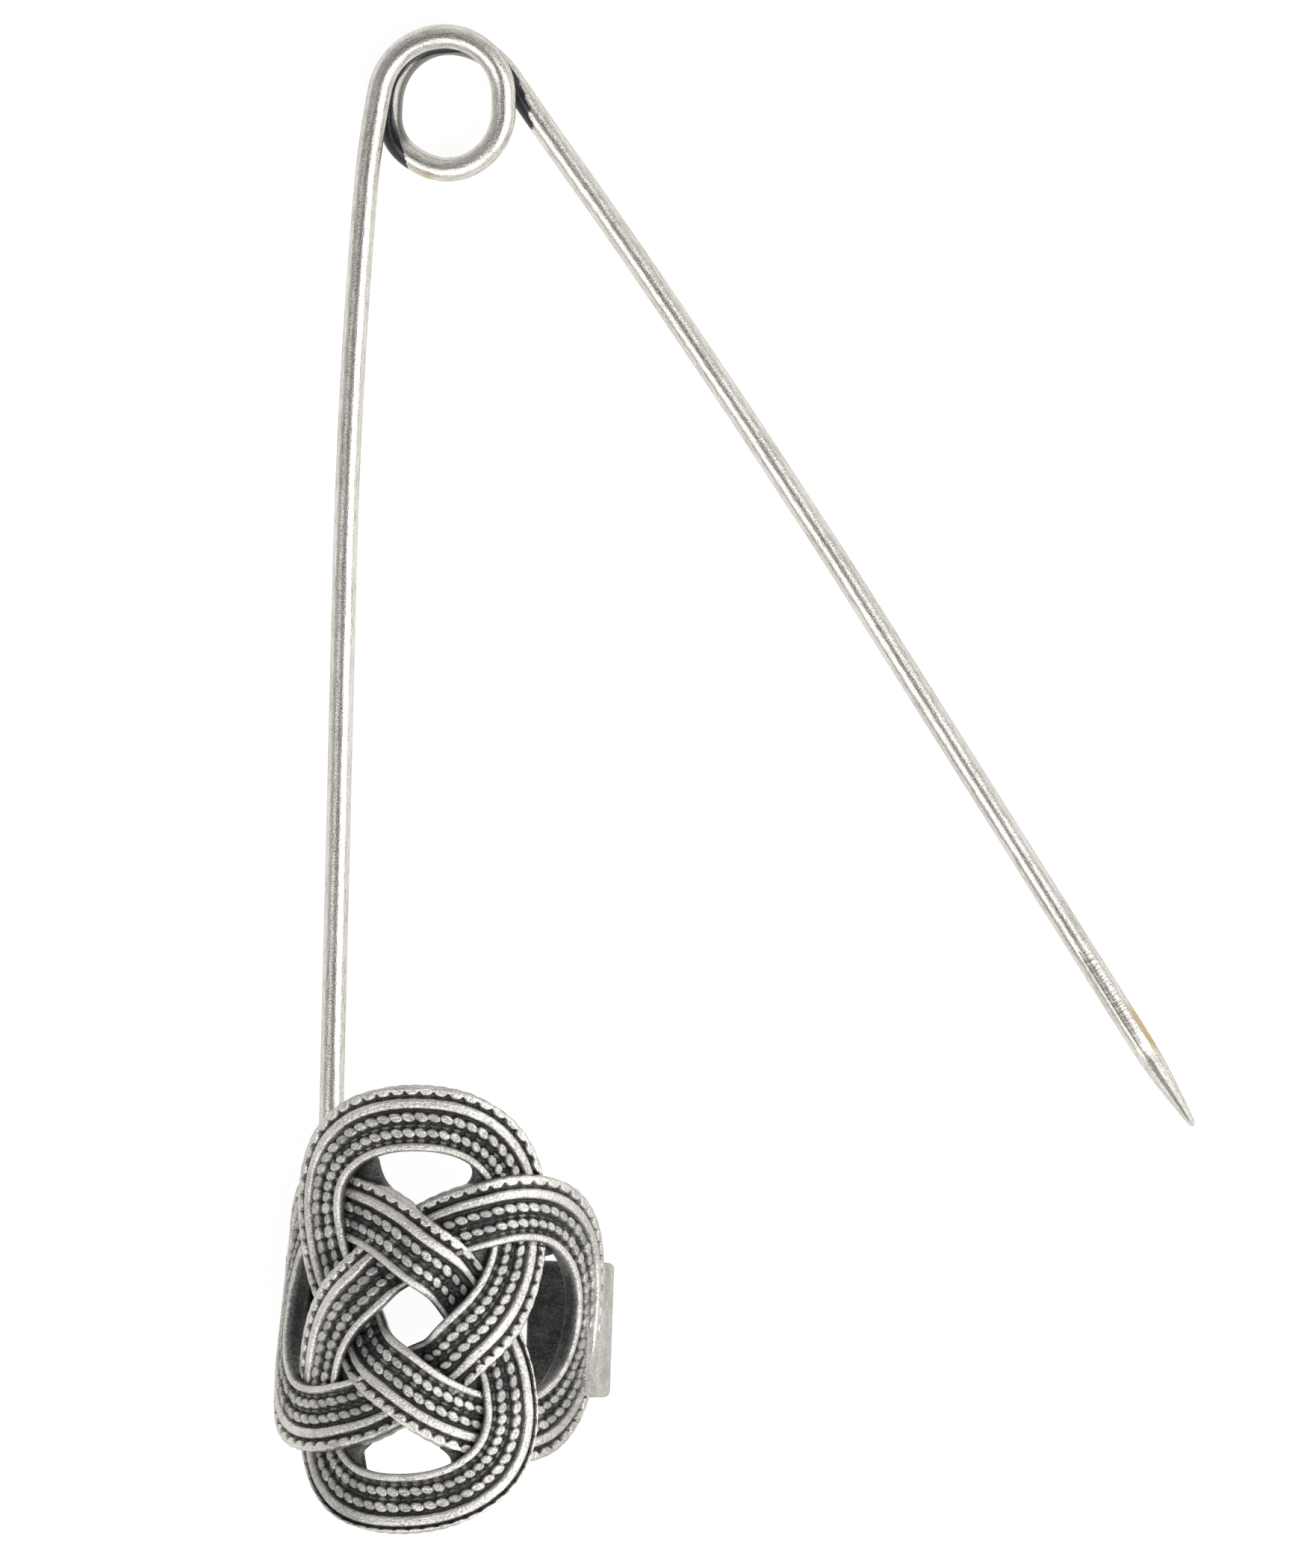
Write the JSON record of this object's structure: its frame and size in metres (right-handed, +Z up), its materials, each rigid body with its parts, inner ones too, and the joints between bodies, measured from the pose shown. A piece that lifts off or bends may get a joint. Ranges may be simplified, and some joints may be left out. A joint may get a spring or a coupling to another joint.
{
  "type": "kilt pin",
  "caption": "Open kilt pin: a bent spring wire with a coil and a sharp arm, and a rounded cast knotwork clasp whose hook catches the point.",
  "frame": {"origin": "centre of the coil's eye, on the plane that the pin lies on", "axes": "+X to the right, +Y from the clasp towards the coil, +Z up, away from that plane"},
  "size_m": [0.0609, 0.1004, 0.0182],
  "materials": {
    "antiqued_cast": "cast white metal, blackened in the grooves, bright on the ridges",
    "wire": "drawn bright wire, faint lengthwise grain"
  },
  "bodies": {
    "clasp_and_leg": {"knot_clasp": "antiqued_cast", "fixed_leg": "wire"},
    "coil": {"spring_coil": "wire"},
    "arm": {"pin_arm": "wire"}
  },
  "joints": [
    {"name": "arm_swing", "type": "hinge", "parent": "clasp_and_leg", "child": "coil", "pos_m": [0, 0, 0.0008], "axis": [0, 0, 1], "range_deg": [-34.5, 5], "stiffness_Nm_per_rad": 0.57, "deforming": ["spring_coil"]},
    {"name": "arm_lift", "type": "hinge", "parent": "coil", "child": "arm", "pos_m": [0.0044, 0.00164, 0.0008], "axis": [-0.83, -0.5577, 0], "range_deg": [0, 4], "stiffness_Nm_per_rad": 0.6, "deforming": ["spring_coil"]}
  ]
}
